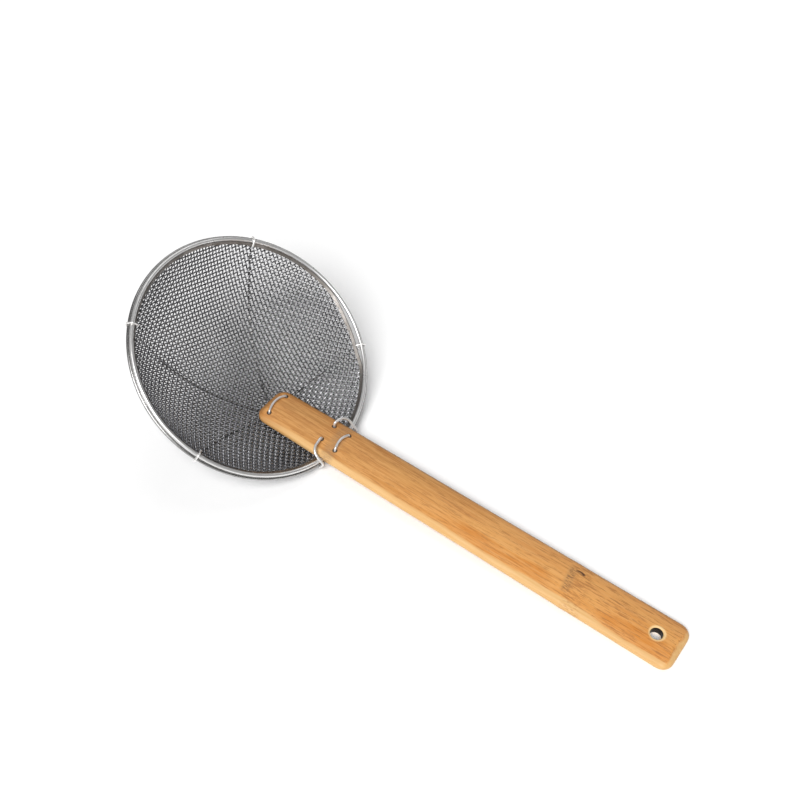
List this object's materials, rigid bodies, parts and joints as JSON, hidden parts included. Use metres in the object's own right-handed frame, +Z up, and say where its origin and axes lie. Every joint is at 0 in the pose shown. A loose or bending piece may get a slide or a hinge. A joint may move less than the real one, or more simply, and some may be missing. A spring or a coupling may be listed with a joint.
{
  "type": "spider skimmer",
  "caption": "Spider skimmer: woven steel bowl in a double-wire rim, carried on bent support wires and wired to a flat split-bamboo handle with a hanging hole.",
  "frame": {"origin": "middle of the footprint, on the surface the skimmer lies on", "axes": "+X along the handle from the bowl to the hanging hole, +Y across the bowl, +Z up from the surface"},
  "size_m": [0.465, 0.2, 0.1172],
  "materials": {
    "mesh_steel": "woven stainless wire, satin",
    "strip_steel": "rolled strip, dull",
    "wire_steel": "drawn wire, bright",
    "bamboo": "sanded bamboo, thin clear coat"
  },
  "bodies": {
    "root": {"bowl_mesh": "mesh_steel", "binding_strip": "strip_steel", "upper_ring": "wire_steel", "lower_ring": "wire_steel", "support_wire_side": "wire_steel", "support_wire_cross": "wire_steel", "handle": "bamboo", "tip_tie": "wire_steel", "near_rim_loop": "wire_steel", "far_rim_loop": "wire_steel", "rear_staple": "wire_steel"}
  },
  "joints": []
}
